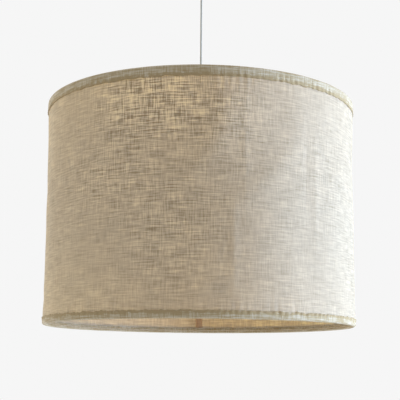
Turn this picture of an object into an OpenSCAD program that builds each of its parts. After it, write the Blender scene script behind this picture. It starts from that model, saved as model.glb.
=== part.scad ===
// Drum pendant lamp: a linen shade stretched between two wire rings, carried by a lampholder
// on a thin cord under a ceiling rose. The origin is the centre of the ceiling face, +Z is up,
// and everything hangs below it.

/* [Shade] */
// Outer diameter of the linen cover
shade_d = 500; // [350:1:620]
// Height of the shade over both rims
shade_h = 360; // [250:1:450]
// Thickness of the linen cover
cloth_t = 0.8; // [0.5:0.1:1.2]
// Thickness of the cloth strip that makes a hem
hem_t = 0.8; // [0.5:0.1:1.2]
// Depth of the top hem on the outside
top_hem_h = 17; // [10:1:30]
// Depth of the bottom hem on the outside
bottom_hem_h = 12; // [10:1:30]
// Depth of both hems on the inside
inner_hem_h = 9; // [8:1:20]
// Width of the glued side seam
seam_w = 12; // [6:1:25]
// Diameter of the steel wire in the two rings
wire_d = 4; // [3.6:0.1:5]

/* [Spider] */
// Depth of the fitter ring's upper face below the top rim
spider_drop = 30; // [15:1:50]
// Bore of the fitter ring
fitter_bore_d = 42; // [42:0.1:46]
// Width of the fitter ring's band
fitter_band = 8; // [6:0.5:12]
// Thickness of the fitter ring
fitter_t = 2.5; // [2:0.1:4]
// Diameter of the steel wire in the arms
arm_d = 3.4; // [2.8:0.1:3.5]

/* [Ceiling rose] */
// Distance from the ceiling to the shade's top rim
drop = 275; // [210:1:600]
// Outer diameter of the rose cup
rose_d = 90; // [84:1:120]
// Height of the rose cup
rose_h = 62; // [50:1:80]
// Wall and floor of the rose cup
rose_wall = 2; // [1.5:0.1:3]
// Radius of the cup's lower corner
rose_corner = 9; // [6:0.5:15]
// Distance between the two ceiling screw holes
screw_spacing = 60; // [50:1:64]
// Diameter of the ceiling screw holes
screw_hole_d = 5; // [4:0.1:6]
// Width of the steel bracket
bracket_w = 16; // [14:1:24]
// Thickness of the steel bracket
bracket_t = 2; // [1.5:0.1:3]
// Length of the bracket's down-turned ears
ear_h = 16; // [14:1:22]

/* [Terminal block] */
// Length of the plastic block
terminal_block_l = 24; // [22:0.5:28]
// Width of the plastic block
terminal_block_w = 14; // [12:0.5:15]
// Height of the plastic block
terminal_block_h = 15; // [14:0.5:20]
// Distance of each pole from the middle
pole_offset = 7.5; // [6.5:0.1:8.5]
// Outer diameter of a brass barrel
barrel_d = 4.6; // [4:0.1:5]
// Bore of a brass barrel
barrel_bore_d = 2.6; // [2:0.1:3]

/* [Cord] */
// Diameter of the round cord
cord_d = 3.2; // [3:0.1:4]
// Diameter of one insulated conductor
conductor_d = 1.4; // [1:0.1:1.5]

/* [Cord grips] */
// Diameter of a grip's head
grip_d = 14; // [12:0.5:18]
// Length of a grip's head
grip_l = 16; // [14:0.5:24]
// Diameter of a grip's stud
stud_d = 10; // [8:0.5:10]
// Length of a grip's stud
stud_l = 8; // [7:0.5:12]
// Diameter of the clamping screw in a grip
grub_d = 3; // [2.5:0.1:4]
// Depth of the flared mouth that lets the cord lean
mouth_depth = 4.5; // [4:0.5:6]

/* [Lampholder] */
// Outer diameter of the smooth body above the shoulder
holder_d = 46; // [45:0.5:52]
// Height of the smooth body
holder_body_h = 14; // [12:0.5:20]
// Height of the domed cap
cap_h = 20; // [16:0.5:30]
// Wall of the cap
cap_wall = 2; // [1.5:0.1:3]
// Radius of the cap's upper corner
cap_corner = 11; // [6:0.5:13]
// Outer diameter of the skirt's thread
thread_d = 39.6; // [38:0.1:40]
// Pitch of the skirt's thread
thread_pitch = 2.5; // [2:0.1:3]
// Depth of the skirt's thread
thread_depth = 1.1; // [0.6:0.1:1.2]
// Length of the skirt below the shoulder
skirt_l = 32; // [28:0.5:40]
// Bore of the skirt
skirt_bore_d = 34; // [32:0.5:34.5]
// Diameter of the clamping ring's flange
shade_ring_d = 58; // [52:0.5:70]
// Thickness of the clamping ring's flange
shade_ring_flange = 3; // [2:0.1:5]
// Height of the clamping ring
shade_ring_h = 11; // [8:0.5:16]
// Diameter of the clamping ring's hub
shade_ring_hub_d = 49; // [46:0.5:50]
// Number of finger notches around the clamping ring
notches = 24; // [12:1:36]

/* [Bulb] */
// Diameter of the globe
bulb_d = 60; // [45:1:80]
// Length of the bulb from its tip to its crown
bulb_l = 110; // [95:1:140]
// Diameter of the cap's thread
bulb_thread_d = 26.2; // [26:0.1:26.5]
// Height of the threaded cap
bulb_cap_l = 21; // [19:0.5:23]
// Wall of the globe and of the housing
bulb_wall = 1.4; // [1:0.1:2]

/* [Hidden] */

// Clearance between pieces that fit into each other and stay still
play = 0.1;
// Radial clearance of a piece that turns on another
running = 0.05;
// Gap between faces of pieces that move past each other
gap = 0.3;
// Length by which a cutting solid passes a face
past = 1;

// Heights of the shade's rims and of the lampholder's shoulder
top_z = -drop;
bottom_z = -drop - shade_h;
seat_z = -drop - spider_drop;

// Cover, rolled bead of a hem and ring wire, measured from the shade's axis
cover_r = shade_d / 2;
wire_r = wire_d / 2;
bead_r = wire_r + cloth_t / 2 + hem_t + running;
bead_centre_r = cover_r + hem_t - bead_r;
ring_r = cover_r - cloth_t - wire_r;
// Height of the cover's edge above the middle of the bead
cover_edge = 1;
// Depth below the middle of the bead to which wire and cover share one hollow
wire_room = 0.8 * wire_r;

// Spider
fitter_r = fitter_bore_d / 2 + fitter_band;
arm_angles = [90, 210, 330];

// Cord and grips, with heights measured along a grip from its seat towards its mouth
cord_r = cord_d / 2;
tail_end = grip_l - mouth_depth - 1.5;
flare_start = grip_l - mouth_depth - 1;
hinge_at = grip_l - mouth_depth;
flare_slope = 0.53;
flare_r = cord_r + 0.9;
grub_at = 5;
cap_top = holder_body_h + cap_h;
upper_hinge_z = -rose_h - hinge_at;
lower_hinge_z = seat_z + cap_top + hinge_at;

// The pendant cord hangs straight between its two grips: places along it, from 0 to 1
cord_steps = [
    0, 0.04, 0.08, 0.12, 0.16, 0.2, 0.25, 0.3, 0.35, 0.4, 0.45, 0.5,
    0.55, 0.6, 0.65, 0.7, 0.75, 0.8, 0.84, 0.88, 0.92, 0.96, 1
];
cord_route = [for (s = cord_steps) [0, 0, upper_hinge_z + s * (lower_hinge_z - upper_hinge_z)]];
tube_sides = 8;

// Rose bracket and its fastenings
rose_r = rose_d / 2;
ear_x = sqrt(pow(rose_r - rose_wall, 2) - pow(bracket_w / 2, 2)) - gap;
cup_screw_z = -10;
cup_screw_r = 1.5;
cup_screw_head_r = 2.8;
cup_screw_head_h = 1.8;
block_screw_r = 1.5;
block_screw_head_r = 2.6;
block_screw_head_h = 2;
terminal_screw_r = 1.1;
terminal_screw_spread = 3.6;
sheath_end_z = -rose_h + rose_wall + stud_l + 8;
nut_across = 15;
nut_h = 4;

// Inside the lampholder, with heights measured up from the shoulder
spigot_h = 4;
ledge_h = 2;
block_r = holder_d / 2 - 3.2;
block_h = holder_body_h - ledge_h + 1;
block_top = ledge_h + block_h;
shell_wall = 0.6;
shell_r = bulb_thread_d / 2 + gap + 0.4 + shell_wall;
shell_l = 25;
shell_flange_r = skirt_bore_d / 2 - 0.5;
contact_t = 0.6;
contact_w = 6;
contact_x = 9;
side_foot_l = shell_flange_r - contact_x - 1;
terminal_size = [7, 7, 7];
holder_sheath_end = cap_top - stud_l - 1;

// Bulb, with heights measured down from the shoulder
tip_top = contact_t + gap;
tip_h = 1.6;
tip_r = 4.8;
insulator_h = 3.4;
insulator_r = 11.4;
bulb_thread_pitch = 3.6;
bulb_thread_depth = 0.7;
bulb_cap_top = tip_top + tip_h + insulator_h;
bulb_cap_bottom = bulb_cap_top + bulb_cap_l;
globe_r = bulb_d / 2;
globe_centre = tip_top + bulb_l - globe_r;
globe_rise = 0.45 * globe_r;
globe_seam = globe_centre - globe_rise;
globe_seam_r = sqrt(globe_r * globe_r - globe_rise * globe_rise);
board_t = 1.6;
driver_w = 16;
driver_top = bulb_cap_top + 3;
chip_size = 2.8;
chip_h = 0.7;
chip_count = 10;

// Fineness of large and of small round shapes
$fn = 64;
large_fn = 144;
small_fn = 32;

// ---- Shapes used by several pieces ----

function unit(v) = v / norm(v);

// Direction of a route at its point i
function heading(route, i) = unit(route[min(i + 1, len(route) - 1)] - route[max(i - 1, 0)]);

// Rings of points around a route that stays in a plane y = constant
function tube_points(route, r) = [
    for (i = [0 : len(route) - 1])
        let (side = unit(cross(heading(route, i), [0, 1, 0])))
            for (k = [0 : tube_sides - 1])
                let (a = 360 * k / tube_sides)
                    route[i] + r * (cos(a) * side + sin(a) * [0, 1, 0])
];

// Triangles between the rings, and a flat face on each end
function tube_faces(rings) = concat(
    [[for (k = [tube_sides - 1 : -1 : 0]) k]],
    [
        for (i = [0 : rings - 2], k = [0 : tube_sides - 1], half = [0, 1])
            let (
                a = i * tube_sides + k,
                b = i * tube_sides + (k + 1) % tube_sides
            )
                half == 0 ? [a, b, b + tube_sides] : [a, b + tube_sides, a + tube_sides]
    ],
    [[for (k = [0 : tube_sides - 1]) (rings - 1) * tube_sides + k]]
);

module tube(route, r) {
    polyhedron(points = tube_points(route, r), faces = tube_faces(len(route)));
}

// A straight rod between two points given as [radius, height]
module rod(p, q, d) {
    span = q - p;
    translate([p[0], 0, p[1]])
        rotate([0, atan2(span[0], span[1]), 0])
            cylinder(h = norm(span), d = d, $fn = small_fn);
}

// A ring of round wire, or the room for one that is thicker all round by grow
module wire_ring(z, grow = 0) {
    translate([0, 0, z])
        rotate_extrude($fn = large_fn)
            translate([ring_r, 0]) circle(r = wire_r + grow, $fn = small_fn);
}

// Half section of a round cup with its floor down, a radius r, a height h and one round corner
module cup_section(r, h, corner) {
    square([r - corner, h]);
    translate([0, corner]) square([r, h - corner]);
    translate([r - corner, corner]) circle(r = corner);
}

// Half section of a hem: a bead around the wire and the cloth's edge, with two flat bands
module hem_section(outer_h) {
    difference() {
        union() {
            translate([bead_centre_r, -bead_r]) circle(r = bead_r, $fn = small_fn);
            translate([cover_r, -outer_h]) square([hem_t, outer_h - bead_r]);
            translate([cover_r - cloth_t - hem_t, -inner_hem_h])
                square([hem_t, inner_hem_h - bead_r]);
        }
        translate([ring_r, -bead_r]) circle(r = wire_r + running, $fn = small_fn);
        translate([ring_r, -bead_r - wire_room])
            square([cover_r + running - ring_r, wire_room + cover_edge + running]);
        translate([cover_r - cloth_t - running, -outer_h - past])
            square([cloth_t + 2 * running, outer_h + past - bead_r]);
    }
}

// A cord grip, seated at the origin with its stud down and its flared mouth up
module cord_grip() {
    difference() {
        rotate_extrude() {
            difference() {
                union() {
                    translate([0, -stud_l]) square([stud_d / 2, stud_l + past]);
                    square([grip_d / 2, grip_l - 2]);
                    square([grip_d / 2 - 1, grip_l]);
                    translate([0, grip_l - 2]) square([grip_d / 2 - 0.5, 1]);
                }
                translate([0, -stud_l - past])
                    square([cord_r + play, stud_l + grip_l + 2 * past]);
                polygon([
                    [0, flare_start],
                    [flare_r, flare_start],
                    [flare_r + flare_slope * (grip_l - flare_start + past), grip_l + past],
                    [0, grip_l + past]
                ]);
            }
        }
        translate([0, 0, grub_at]) rotate([0, 90, 0])
            cylinder(r = grub_d / 2 + running, h = grip_d);
    }
}

// The clamping screw of a grip, in the grip's own frame, with a slot across its end
module grub_screw() {
    difference() {
        translate([cord_r + play, 0, grub_at]) rotate([0, 90, 0])
            cylinder(d = grub_d, h = grip_d / 2 - cord_r - play - 0.4, $fn = small_fn);
        translate([grip_d / 2 - 1.2, -grub_d, grub_at - 0.3])
            cube([past + 1, 2 * grub_d, 0.6]);
    }
}

// A small screw along +Z: head at the origin pointing up, shank down, one slot in the head
module slotted_screw(shank_r, shank_l, head_r, head_h) {
    difference() {
        union() {
            cylinder(r = head_r, h = head_h, $fn = small_fn);
            translate([0, 0, -shank_l]) cylinder(r = shank_r, h = shank_l + head_h / 2, $fn = small_fn);
        }
        translate([-head_r - past, -head_r / 8, head_h / 2])
            cube([2 * (head_r + past), head_r / 4, head_h]);
    }
}

module at_seat() {
    translate([0, 0, seat_z]) children();
}

// Places the holder's cord grip: seated on the cap, mouth up
module at_cap_top() {
    translate([0, 0, seat_z + cap_top]) children();
}

// Places the rose's cord grip: seated under the cup, mouth down
module at_cup_floor() {
    translate([0, 0, -rose_h]) rotate([180, 0, 0]) children();
}

// ---- Ceiling rose ----

module ceiling_bracket() {
    color("silver") difference() {
        union() {
            translate([-ear_x, -bracket_w / 2, -bracket_t])
                cube([2 * ear_x, bracket_w, bracket_t]);
            for (side = [-1, 1])
                translate([side * (ear_x - bracket_t / 2) - bracket_t / 2, -bracket_w / 2, -ear_h])
                    cube([bracket_t, bracket_w, ear_h]);
        }
        for (side = [-1, 1])
            translate([side * screw_spacing / 2, 0, -bracket_t - past])
                cylinder(d = screw_hole_d, h = bracket_t + 2 * past);
        translate([0, 0, -bracket_t - past])
            cylinder(r = block_screw_r + running, h = bracket_t + 2 * past);
        translate([-ear_x - past, 0, cup_screw_z]) rotate([0, 90, 0])
            cylinder(r = cup_screw_r + running, h = 2 * (ear_x + past));
    }
}

module rose_cup() {
    color("white") difference() {
        translate([0, 0, -rose_h]) rotate_extrude($fn = large_fn) difference() {
            intersection() {
                cup_section(rose_r, rose_h, rose_corner);
                square([rose_r, rose_h]);
            }
            translate([0, rose_wall])
                intersection() {
                    cup_section(rose_r - rose_wall, rose_h, rose_corner - rose_wall);
                    square([rose_r, rose_h]);
                }
        }
        translate([0, 0, -rose_h - past])
            cylinder(d = stud_d + 2 * play, h = rose_wall + 2 * past);
        translate([-rose_r - past, 0, cup_screw_z]) rotate([0, 90, 0])
            cylinder(r = cup_screw_r + play, h = 2 * (rose_r + past));
    }
}

module rose_cup_screws() {
    color("silver") for (side = [0, 180])
        rotate([0, 0, side]) translate([rose_r, 0, cup_screw_z]) rotate([0, 90, 0])
            slotted_screw(cup_screw_r, rose_r - ear_x + bracket_t + past, cup_screw_head_r,
                cup_screw_head_h);
}

module rose_cord_grip() {
    color("white") at_cup_floor() cord_grip();
}

module rose_grip_screw() {
    color("silver") at_cup_floor() grub_screw();
}

module rose_grip_nut() {
    color("white") translate([0, 0, -rose_h + rose_wall]) difference() {
        cylinder(d = nut_across, h = nut_h, $fn = 6);
        translate([0, 0, -past])
            cylinder(d = stud_d + 2 * running, h = nut_h + 2 * past);
    }
}

// Places one thing at each pole of the terminal block, on its underside
module at_poles() {
    for (side = [-1, 1])
        translate([side * pole_offset, 0, -bracket_t - terminal_block_h]) children();
}

module terminal_block() {
    color("ivory") difference() {
        translate([-terminal_block_l / 2, -terminal_block_w / 2, -bracket_t - terminal_block_h])
            cube([terminal_block_l, terminal_block_w, terminal_block_h]);
        at_poles() translate([0, 0, -past])
            cylinder(d = barrel_d + 2 * play, h = terminal_block_h + 2 * past);
        at_poles() for (dz = [-1, 1])
            translate([0, 0, terminal_block_h / 2 + dz * terminal_screw_spread]) rotate([90, 0, 0])
                cylinder(r = terminal_screw_r + 3 * play, h = terminal_block_w);
        translate([0, 0, -bracket_t - terminal_block_h - past])
            cylinder(r = block_screw_r + play, h = terminal_block_h + 2 * past);
        translate([0, 0, -bracket_t - terminal_block_h - past])
            cylinder(r = block_screw_head_r + play, h = block_screw_head_h + past);
    }
}

module block_screw() {
    color("silver") translate([0, 0, -bracket_t - terminal_block_h + block_screw_head_h])
        rotate([180, 0, 0])
            slotted_screw(block_screw_r,
                terminal_block_h - block_screw_head_h + bracket_t - play,
                block_screw_head_r, block_screw_head_h);
}

module terminal_barrels() {
    color("gold") difference() {
        at_poles() translate([0, 0, 1])
            cylinder(d = barrel_d, h = terminal_block_h - 2);
        at_poles() cylinder(d = barrel_bore_d, h = terminal_block_h);
        at_poles() for (dz = [-1, 1])
            translate([0, 0, terminal_block_h / 2 + dz * terminal_screw_spread]) rotate([90, 0, 0])
                cylinder(r = terminal_screw_r + running, h = terminal_block_w);
    }
}

module terminal_screws() {
    color("silver") at_poles() for (dz = [-1, 1])
        translate([0, -terminal_block_w / 2 + 1, terminal_block_h / 2 + dz * terminal_screw_spread])
            rotate([90, 0, 0])
                slotted_screw(terminal_screw_r, terminal_block_w / 2 - 1 - conductor_d / 2 - play,
                    terminal_screw_r + 2 * play, 0.8);
}

module rose_cord_tail() {
    color("lightgray") tube([
        for (s = [0 : 0.25 : 1]) [0, 0, -rose_h - tail_end + s * (sheath_end_z + rose_h + tail_end)]
    ], cord_r);
}

// Height of one conductor's end inside its barrel
wire_top_z = -bracket_t - terminal_block_h / 2;
// Share of the way out and up of each point of a conductor in the rose
rose_wire_steps = [
    [0, 0], [0, 0.05], [0.03, 0.11], [0.1, 0.19], [0.25, 0.28], [0.5, 0.4], [0.75, 0.5],
    [0.93, 0.6], [1, 0.7], [1, 0.85], [1, 1]
];

module rose_wires() {
    color("sienna") for (side = [-1, 1])
        tube([
            for (s = rose_wire_steps) [
                side * (conductor_d / 2 + play + s[0] * (pole_offset - conductor_d / 2 - play)),
                0,
                sheath_end_z + s[1] * (wire_top_z - sheath_end_z)
            ]
        ], conductor_d / 2);
}

// ---- Cord ----

module pendant_cord() {
    color("lightgray") tube(cord_route, cord_r);
}

// ---- Lampholder ----

module holder_cord_grip() {
    color("white") at_cap_top() cord_grip();
}

module holder_grip_screw() {
    color("silver") at_cap_top() grub_screw();
}

// Half section of the cap, standing on the smooth body
module cap_section(r, h, corner) {
    translate([0, h]) mirror([0, 1]) intersection() {
        cup_section(r, h, corner);
        square([r, h]);
    }
}

module holder_cap() {
    color("white") at_seat() translate([0, 0, holder_body_h]) rotate_extrude() difference() {
        cap_section(holder_d / 2, cap_h, cap_corner);
        translate([0, -play])
            cap_section(holder_d / 2 - cap_wall, cap_h - cap_wall + play, cap_corner - cap_wall);
        square([stud_d / 2 + play, 2 * cap_h]);
    }
}

// Half section of a thread drawn as plain rings, from height y0 down to y1, over a core
module thread_section(crest, depth, pitch, y0, y1) {
    turns = floor((y0 - y1) / pitch);
    translate([0, y1]) square([crest - depth, y0 - y1]);
    for (i = [0 : turns - 1])
        translate([0, y0 - (i + 0.5) * pitch])
            polygon([
                [0, -0.42 * pitch],
                [crest - depth, -0.42 * pitch],
                [crest, -0.15 * pitch],
                [crest, 0.15 * pitch],
                [crest - depth, 0.42 * pitch],
                [0, 0.42 * pitch]
            ]);
}

module holder_skirt() {
    color("white") at_seat() rotate_extrude($fn = large_fn) difference() {
        union() {
            square([holder_d / 2, holder_body_h]);
            square([holder_d / 2 - cap_wall - play, holder_body_h + spigot_h]);
            translate([0, -fitter_t]) square([fitter_bore_d / 2 - running, fitter_t + past]);
            thread_section(thread_d / 2, thread_depth, thread_pitch, -fitter_t, -skirt_l);
        }
        translate([0, -skirt_l - past]) square([skirt_bore_d / 2, skirt_l + ledge_h + 2 * past]);
        translate([0, ledge_h]) square([block_r + play, holder_body_h + spigot_h]);
    }
}

// Places one thing at each of the two contacts, on top of the contact block
module at_contacts() {
    for (side = [-1, 1]) translate([side * contact_x, 0, block_top]) children();
}

module contact_block() {
    color("ivory") at_seat() difference() {
        translate([0, 0, ledge_h]) cylinder(r = block_r, h = block_h);
        for (side = [-1, 1])
            translate([
                side * contact_x - contact_t / 2 - play,
                -contact_w / 2 - play,
                ledge_h - past
            ])
                cube([contact_t + 2 * play, contact_w + 2 * play, block_h + 2 * past]);
        translate([contact_x, -contact_w / 2 - play, ledge_h - past])
            cube([side_foot_l + play, contact_w + 2 * play, contact_t + play + past]);
    }
}

module screw_shell() {
    color("gold") at_seat() rotate_extrude() difference() {
        union() {
            translate([0, ledge_h - shell_wall]) square([shell_flange_r, shell_wall]);
            thread_section(shell_r, 0.4, bulb_thread_pitch, ledge_h, -shell_l);
        }
        thread_section(shell_r - shell_wall, 0.4, bulb_thread_pitch, ledge_h + past,
            -shell_l - past);
    }
}

// The tongue lies under the contact block and reaches past the middle
module centre_contact() {
    color("gold") at_seat() {
        translate([-contact_x - contact_t / 2, -contact_w / 2, 0])
            cube([contact_t, contact_w, block_top]);
        translate([-contact_x - contact_t / 2, -contact_w / 2, -contact_t])
            cube([contact_x + contact_t / 2 + 3, contact_w, contact_t]);
    }
}

// The foot lies on the screw shell's flange, in a pocket of the contact block
module side_contact() {
    color("gold") at_seat() {
        translate([contact_x - contact_t / 2, -contact_w / 2, ledge_h])
            cube([contact_t, contact_w, block_h]);
        translate([contact_x, -contact_w / 2, ledge_h])
            cube([side_foot_l, contact_w, contact_t]);
    }
}

module holder_terminals() {
    color("gold") at_seat() difference() {
        at_contacts() translate([-terminal_size[0] / 2, -terminal_size[1] / 2, 0])
            cube(terminal_size);
        at_contacts() translate([0, 0, terminal_size[2] - 4])
            cylinder(d = conductor_d + 4 * play, h = terminal_size[2]);
        at_contacts() translate([0, 0, terminal_size[2] - 2.2]) rotate([90, 0, 0])
            cylinder(r = terminal_screw_r + running, h = terminal_size[1]);
    }
}

module holder_terminal_screws() {
    color("silver") at_seat() at_contacts()
        translate([0, -terminal_size[1] / 2, terminal_size[2] - 2.2]) rotate([90, 0, 0])
            slotted_screw(terminal_screw_r, terminal_size[1] / 2 - conductor_d / 2 - 2 * play,
                2, 1);
}

module holder_cord_tail() {
    color("lightgray") at_seat() tube([
        for (s = [0 : 0.25 : 1])
            [0, 0, holder_sheath_end + s * (cap_top + tail_end - holder_sheath_end)]
    ], cord_r);
}

// Share of the way out and down of each point of a conductor in the holder
holder_wire_steps = [
    [0, 0], [0, 0.06], [0.03, 0.12], [0.1, 0.16], [0.3, 0.18], [0.55, 0.18], [0.8, 0.2],
    [0.94, 0.3], [1, 0.45], [1, 0.75], [1, 1]
];

module holder_wires() {
    wire_end = block_top + terminal_size[2] - 3.6;
    start_x = conductor_d / 2 + play;
    color("sienna") at_seat() for (side = [-1, 1])
        tube([
            for (s = holder_wire_steps) [
                side * (start_x + s[0] * (contact_x - start_x)),
                0,
                holder_sheath_end + s[1] * (wire_end - holder_sheath_end)
            ]
        ], conductor_d / 2);
}

// The ring turns on the skirt's thread and clamps the fitter ring from below
module shade_ring() {
    color("white") at_seat() translate([0, 0, -fitter_t - gap]) difference() {
        rotate_extrude($fn = large_fn) difference() {
            union() {
                translate([0, -shade_ring_flange]) square([shade_ring_d / 2, shade_ring_flange]);
                translate([0, -shade_ring_h]) square([shade_ring_hub_d / 2, shade_ring_h]);
            }
            translate([0, -shade_ring_h - past])
                square([thread_d / 2 + running, shade_ring_h + 2 * past]);
        }
        for (i = [0 : notches - 1])
            rotate([0, 0, i * 360 / notches])
                translate([shade_ring_d / 2 + 1, 0, -shade_ring_flange - past])
                    cylinder(r = 2.4, h = shade_ring_flange + 2 * past, $fn = small_fn);
    }
}

// ---- Bulb ----

// Places the bulb's own frame: height measured down from the shoulder
module at_bulb() {
    at_seat() mirror([0, 0, 1]) children();
}

module bulb_tip() {
    color("silver") at_bulb() translate([0, 0, tip_top])
        rotate_extrude() polygon([[0, 0], [tip_r - 1, 0], [tip_r, tip_h], [0, tip_h]]);
}

module bulb_insulator() {
    color("black") at_bulb() translate([0, 0, tip_top + tip_h])
        rotate_extrude()
            polygon([[0, 0], [tip_r, 0], [insulator_r, insulator_h], [0, insulator_h]]);
}

module bulb_screw_cap() {
    color("silver") at_bulb() rotate_extrude() difference() {
        thread_section(bulb_thread_d / 2, bulb_thread_depth, bulb_thread_pitch,
            bulb_cap_bottom, bulb_cap_top);
        translate([0, bulb_cap_top + 0.6])
            square([bulb_thread_d / 2 - bulb_thread_depth - 0.6, bulb_cap_l]);
    }
}

// Radius of the housing at a share s of its height, from the cap to the globe
housing_top_r = bulb_thread_d / 2 + 0.4;
function housing_r(s) = housing_top_r + (globe_seam_r - housing_top_r) * (1 - cos(180 * s)) / 2;
housing_steps = 14;

module housing_section(inset) {
    polygon(concat(
        [[0, bulb_cap_bottom]],
        [
            for (i = [0 : housing_steps])
                [
                    housing_r(i / housing_steps) - inset,
                    bulb_cap_bottom + i / housing_steps * (globe_seam - bulb_cap_bottom)
                ]
        ],
        [[0, globe_seam]]
    ));
}

module bulb_housing() {
    color("white") at_bulb() rotate_extrude() difference() {
        housing_section(0);
        translate([0, bulb_wall]) housing_section(bulb_wall);
        translate([0, bulb_cap_bottom - past])
            square([driver_w / 2 + 1, bulb_wall + 2 * past]);
    }
}

module bulb_globe() {
    color("white") at_bulb() rotate_extrude($fn = large_fn) intersection() {
        difference() {
            translate([0, globe_centre]) circle(r = globe_r);
            translate([0, globe_centre]) circle(r = globe_r - bulb_wall);
        }
        translate([0, globe_seam]) square([globe_r, 2 * globe_r]);
    }
}

module led_board() {
    color("lightgray") at_bulb() translate([0, 0, globe_seam - board_t])
        cylinder(r = globe_seam_r - bulb_wall - 4 * play, h = board_t);
}

module led_chips() {
    color("khaki") at_bulb() for (i = [0 : chip_count - 1])
        rotate([0, 0, i * 360 / chip_count])
            translate([0.6 * globe_seam_r - chip_size / 2, -chip_size / 2, globe_seam])
                cube([chip_size, chip_size, chip_h]);
}

module led_driver() {
    color("seagreen") at_bulb() translate([-driver_w / 2, -board_t / 2, driver_top])
        cube([driver_w, board_t, globe_seam - board_t - driver_top]);
}

// ---- Spider, rings and linen ----

module fitter_disc(r, t) {
    at_seat() translate([0, 0, -fitter_t - t]) cylinder(r = r, h = fitter_t + 2 * t);
}

module fitter_ring() {
    color("white") difference() {
        fitter_disc(fitter_r, 0);
        fitter_disc(fitter_bore_d / 2, past);
    }
}

// One arm, a straight wire that slopes from the top ring down to the fitter ring, cut to the
// round of the ring's wire and to the fitter ring's edge, which it is welded to
module spider_arm(index) {
    color("white") difference() {
        rotate([0, 0, arm_angles[index]])
            rod([fitter_r - past, seat_z - fitter_t / 2], [ring_r, top_z - bead_r], arm_d);
        wire_ring(top_z - bead_r, running);
        fitter_disc(fitter_r, past);
    }
}

module spider_arm_1() { spider_arm(0); }

module spider_arm_2() { spider_arm(1); }

module spider_arm_3() { spider_arm(2); }

module top_ring() {
    color("white") wire_ring(top_z - bead_r);
}

module bottom_ring() {
    color("white") wire_ring(bottom_z + bead_r);
}

// A tube of cloth between two heights, with its outer radius and its thickness
module cloth_tube(r, t, z0, z1) {
    translate([0, 0, z0]) difference() {
        cylinder(r = r, h = z1 - z0, $fn = large_fn);
        translate([0, 0, -past]) cylinder(r = r - t, h = z1 - z0 + 2 * past, $fn = large_fn);
    }
}

module linen_cover() {
    color("tan") cloth_tube(cover_r, cloth_t, bottom_z + bead_r - cover_edge,
        top_z - bead_r + cover_edge);
}

module side_seam() {
    color("tan") intersection() {
        cloth_tube(cover_r - cloth_t - running, cloth_t, bottom_z + inner_hem_h + running,
            top_z - inner_hem_h - running);
        translate([-seam_w / 2, 0, bottom_z]) cube([seam_w, shade_d, shade_h]);
    }
}

module top_hem() {
    color("tan") difference() {
        translate([0, 0, top_z]) rotate_extrude($fn = large_fn) hem_section(top_hem_h);
        for (a = arm_angles)
            rotate([0, 0, a])
                rod([fitter_r - past, seat_z - fitter_t / 2], [ring_r, top_z - bead_r],
                    arm_d + 2 * play);
    }
}

module bottom_hem() {
    color("tan") translate([0, 0, bottom_z]) mirror([0, 0, 1])
        rotate_extrude($fn = large_fn) hem_section(bottom_hem_h);
}

ceiling_bracket();
rose_cup();
rose_cup_screws();
rose_cord_grip();
rose_grip_nut();
rose_grip_screw();
terminal_block();
block_screw();
terminal_barrels();
terminal_screws();
rose_cord_tail();
rose_wires();
pendant_cord();
holder_cord_grip();
holder_grip_screw();
holder_cap();
holder_skirt();
contact_block();
screw_shell();
centre_contact();
side_contact();
holder_terminals();
holder_terminal_screws();
holder_cord_tail();
holder_wires();
shade_ring();
bulb_tip();
bulb_insulator();
bulb_screw_cap();
bulb_housing();
bulb_globe();
led_board();
led_chips();
led_driver();
fitter_ring();
spider_arm_1();
spider_arm_2();
spider_arm_3();
top_ring();
bottom_ring();
linen_cover();
side_seam();
top_hem();
bottom_hem();
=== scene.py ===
"""A drum pendant: a linen shade on two wire rings, hung on a round cord under a ceiling rose."""

import math

import bmesh
import bpy
import numpy as np
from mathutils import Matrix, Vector


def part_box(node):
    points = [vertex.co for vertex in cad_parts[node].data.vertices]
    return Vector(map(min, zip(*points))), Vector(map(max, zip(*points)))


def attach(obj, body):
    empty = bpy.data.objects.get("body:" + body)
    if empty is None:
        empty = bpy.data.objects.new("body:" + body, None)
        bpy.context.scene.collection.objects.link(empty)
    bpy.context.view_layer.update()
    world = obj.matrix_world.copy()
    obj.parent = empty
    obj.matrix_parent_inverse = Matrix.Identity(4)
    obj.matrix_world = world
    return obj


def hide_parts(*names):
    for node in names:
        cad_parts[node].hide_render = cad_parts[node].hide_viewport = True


bl_info = {
    "name": "Linen Drum Pendant",
    "version": (1, 0, 0),
    "blender": (4, 5, 0),
    "location": "3D View > Sidebar > Pendant",
    "description": "Builds the cloth, cord and finishes of a linen drum pendant on its frame",
    "category": "Add Mesh",
}

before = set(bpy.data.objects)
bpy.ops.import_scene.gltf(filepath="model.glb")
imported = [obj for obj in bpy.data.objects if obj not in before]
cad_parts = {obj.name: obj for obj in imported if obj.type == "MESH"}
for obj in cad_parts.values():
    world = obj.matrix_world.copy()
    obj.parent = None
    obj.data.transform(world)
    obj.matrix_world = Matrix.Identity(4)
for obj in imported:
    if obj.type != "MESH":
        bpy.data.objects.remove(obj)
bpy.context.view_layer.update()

MM = 0.001
TURN = 2 * math.pi

# Places taken from the frame's own parts, in metres
COVER_LOW, COVER_HIGH = (np.array(corner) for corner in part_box("linen_cover"))
HEM_HIGH = np.array(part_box("top_hem")[1])
BOTTOM_LOW = np.array(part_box("bottom_hem")[0])
RING_LOW, RING_HIGH = (np.array(corner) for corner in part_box("top_ring"))
FITTER_LOW, FITTER_HIGH = (np.array(corner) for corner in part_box("fitter_ring"))
CORD_LOW, CORD_HIGH = (np.array(corner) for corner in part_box("pendant_cord"))
COVER_R = COVER_HIGH[0]
TOP_Z = HEM_HIGH[2]
BOTTOM_Z = BOTTOM_LOW[2]
BEAD_R = TOP_Z - (RING_LOW[2] + RING_HIGH[2]) / 2
SPIDER_ANGLES = (90, 210, 330)

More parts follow.
